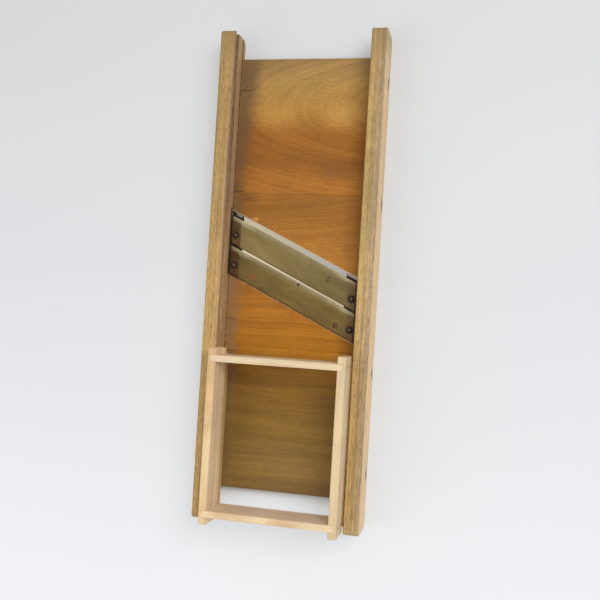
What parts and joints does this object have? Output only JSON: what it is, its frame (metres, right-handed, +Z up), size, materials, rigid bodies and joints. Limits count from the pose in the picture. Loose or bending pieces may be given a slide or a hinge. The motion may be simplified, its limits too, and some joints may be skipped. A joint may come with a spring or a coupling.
{
  "type": "cabbage cutter",
  "caption": "Long wooden board with grooved side rails, thin panels and two slanted steel blades; an open hopper box on runners slides along the grooves over the blades.",
  "frame": {"origin": "under the middle of the board, on the plane of the rails' back edges", "axes": "X across the board to the right, Y along the board towards its head, Z up out of the cutting face"},
  "size_m": [0.21, 0.61, 0.0795],
  "materials": {
    "rail_wood": "worn bare",
    "panel_wood": "worn bare",
    "ledge_wood": "stained bare",
    "box_wood": "bare",
    "runner_wood": "worn bare",
    "blade_steel": "tarnished",
    "screw_steel": "tarnished",
    "nail_iron": "dark"
  },
  "bodies": {
    "cutter_frame": {"left_rail": "rail_wood", "right_rail": "rail_wood", "head_panel": "panel_wood", "upper_panel": "panel_wood", "lower_panel": "panel_wood", "left_ledge": "ledge_wood", "right_ledge": "ledge_wood", "upper_blade": "blade_steel", "lower_blade": "blade_steel", "blade_screws": "screw_steel", "left_rail_nails": "nail_iron", "right_rail_nails": "nail_iron", "left_ledge_nails": "nail_iron", "right_ledge_nails": "nail_iron"},
    "hopper_box": {"box_left_side": "box_wood", "box_right_side": "box_wood", "box_head_end": "box_wood", "box_foot_end": "box_wood", "box_left_runner": "runner_wood", "box_right_runner": "runner_wood", "box_left_runner_nails": "nail_iron", "box_right_runner_nails": "nail_iron", "box_corner_nails": "nail_iron"}
  },
  "joints": [
    {"name": "box_slide", "type": "slide", "parent": "cutter_frame", "child": "hopper_box", "axis": [0, 1, 0], "range_m": [0, 0.395]}
  ]
}
